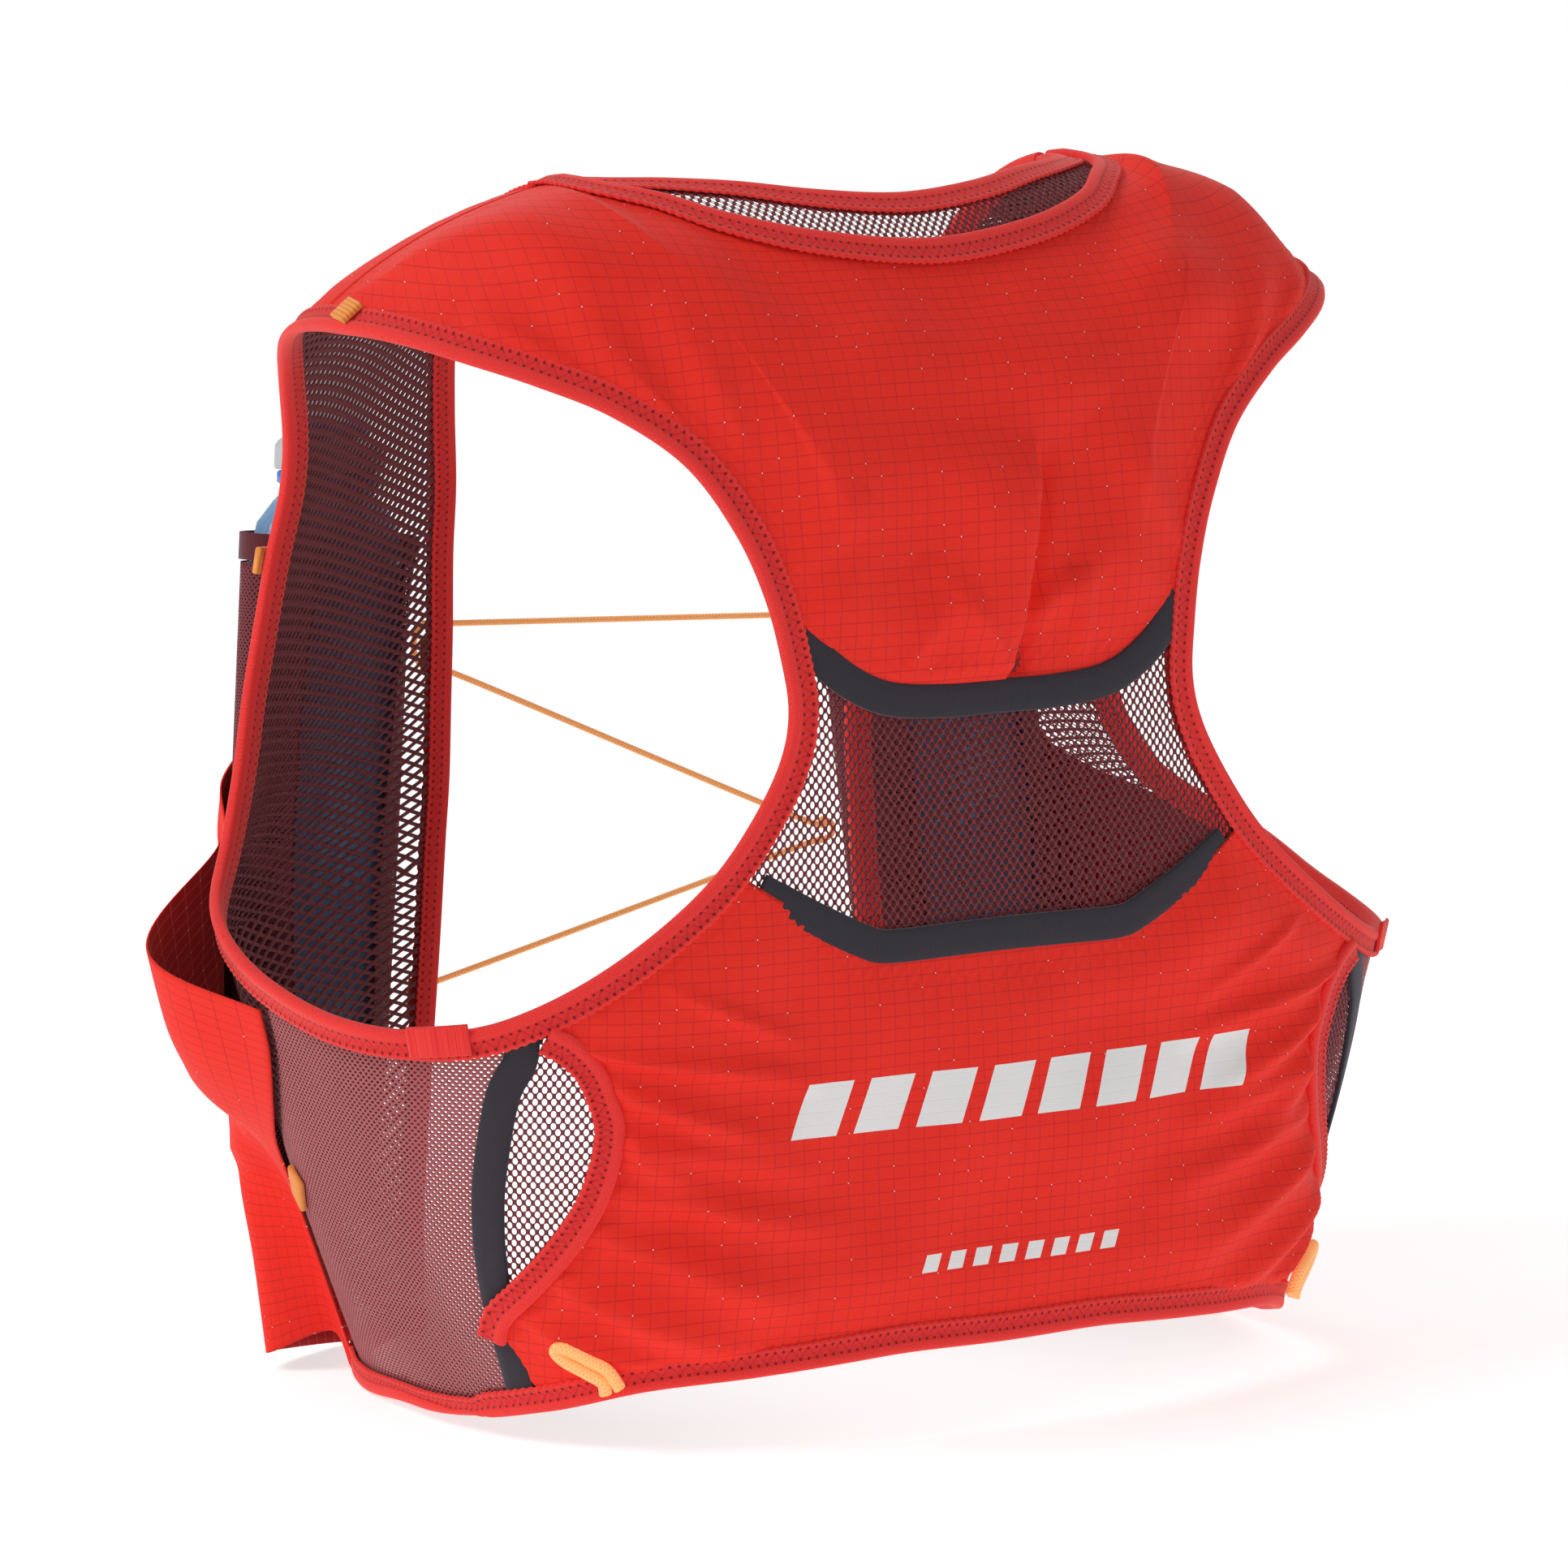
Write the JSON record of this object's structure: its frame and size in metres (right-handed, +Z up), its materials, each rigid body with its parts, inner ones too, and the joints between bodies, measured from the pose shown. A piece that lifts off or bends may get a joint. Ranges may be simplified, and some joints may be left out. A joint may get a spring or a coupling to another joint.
{
  "type": "hydration pack",
  "caption": "Running hydration vest with stretch mesh lining, red outer pockets, elastic bindings, cord closure and a soft flask in each chest pocket.",
  "frame": {"origin": "centre of the bounding box at the hem, on the floor plane", "axes": "+Z up towards the shoulders, +X towards the wearer's left, +Y towards the wearer's back"},
  "size_m": [0.4014, 0.2398, 0.3667],
  "materials": {
    "red_ripstop": "woven ripstop stretch",
    "binding_elastic": "folded elastic binding",
    "burgundy_mesh": "knitted mesh",
    "charcoal_elastic": "flat elastic",
    "orange_webbing": "woven tape",
    "orange_cord": "braided elastic cord",
    "flask_film": "soft translucent film",
    "blue_ring": "satin",
    "grey_cap": "satin"
  },
  "bodies": {
    "back": {"back_mesh_panel": "burgundy_mesh", "upper_back_panel": "red_ripstop", "upper_back_elastic_band": "charcoal_elastic", "lower_pocket_elastic_band": "charcoal_elastic", "neck_binding_inner": "binding_elastic", "neck_binding_outer": "binding_elastic", "hem_binding_back": "binding_elastic", "lower_back_pocket_panel": "red_ripstop", "armhole_binding_back_left": "binding_elastic", "armhole_binding_back_right": "binding_elastic", "side_pocket_binding_left": "binding_elastic", "side_pocket_binding_right": "binding_elastic", "side_elastic_band_left": "charcoal_elastic", "side_elastic_band_right": "charcoal_elastic", "side_mesh_panel_left": "burgundy_mesh", "side_mesh_panel_right": "burgundy_mesh", "underarm_tab_left": "binding_elastic", "underarm_tab_right": "binding_elastic", "shoulder_webbing_loop_left": "orange_webbing", "shoulder_webbing_loop_right": "orange_webbing", "side_webbing_tab_left": "orange_webbing", "side_webbing_tab_right": "orange_webbing", "hem_cord_loop_left": "orange_cord", "hem_cord_loop_right": "orange_cord"},
    "left_front": {"closure_anchor_upper_left": "orange_webbing", "closure_anchor_lower_left": "orange_webbing", "front_mesh_panel_left": "burgundy_mesh", "front_shoulder_panel_left": "red_ripstop", "armhole_binding_front_left": "binding_elastic", "front_edge_binding_left": "binding_elastic", "hem_binding_front_left": "binding_elastic", "flask_pocket_left": "burgundy_mesh", "flask_pocket_elastic_left": "burgundy_mesh", "lower_front_pocket_left": "red_ripstop", "chest_webbing_tab_left": "orange_webbing"},
    "right_front": {"closure_anchor_upper_right": "orange_webbing", "closure_anchor_lower_right": "orange_webbing", "closure_cord": "orange_cord", "front_mesh_panel_right": "burgundy_mesh", "front_shoulder_panel_right": "red_ripstop", "armhole_binding_front_right": "binding_elastic", "front_edge_binding_right": "binding_elastic", "hem_binding_front_right": "binding_elastic", "flask_pocket_right": "burgundy_mesh", "flask_pocket_elastic_right": "burgundy_mesh", "lower_front_pocket_right": "red_ripstop", "chest_webbing_tab_right": "orange_webbing"},
    "left_flask": {"flask_body_left": "flask_film", "flask_collar_left": "blue_ring"},
    "right_flask": {"flask_body_right": "flask_film", "flask_collar_right": "blue_ring"},
    "left_cap": {"flask_cap_left": "grey_cap"},
    "right_cap": {"flask_cap_right": "grey_cap"},
    "left_valve": {"flask_bite_valve_left": "grey_cap"},
    "right_valve": {"flask_bite_valve_right": "grey_cap"}
  },
  "joints": [
    {"name": "left_front_swing", "type": "hinge", "parent": "back", "child": "left_front", "pos_m": [0.192, 0.00227, 0.15], "axis": [0, 0, 1], "range_deg": [0, 25]},
    {"name": "left_flask_slide", "type": "slide", "parent": "left_front", "child": "left_flask", "axis": [-0.086, -0.0535, 0.9949], "range_m": [0, 0.2]},
    {"name": "left_cap_turn", "type": "hinge", "parent": "left_flask", "child": "left_cap", "pos_m": [0.10434, -0.10034, 0.27262], "axis": [-0.086, -0.0535, 0.9949], "range_deg": [0, 270]},
    {"name": "left_valve_pull", "type": "slide", "parent": "left_cap", "child": "left_valve", "axis": [-0.086, -0.0535, 0.9949], "range_m": [0, 0.004]},
    {"name": "right_front_swing", "type": "hinge", "parent": "back", "child": "right_front", "pos_m": [-0.192, 0.00227, 0.15], "axis": [0, 0, -1], "range_deg": [0, 25]},
    {"name": "right_flask_slide", "type": "slide", "parent": "right_front", "child": "right_flask", "axis": [0.086, -0.0535, 0.9949], "range_m": [0, 0.2]},
    {"name": "right_cap_turn", "type": "hinge", "parent": "right_flask", "child": "right_cap", "pos_m": [-0.10434, -0.10034, 0.27262], "axis": [0.086, -0.0535, 0.9949], "range_deg": [0, 270]},
    {"name": "right_valve_pull", "type": "slide", "parent": "right_cap", "child": "right_valve", "axis": [0.086, -0.0535, 0.9949], "range_m": [0, 0.004]}
  ]
}
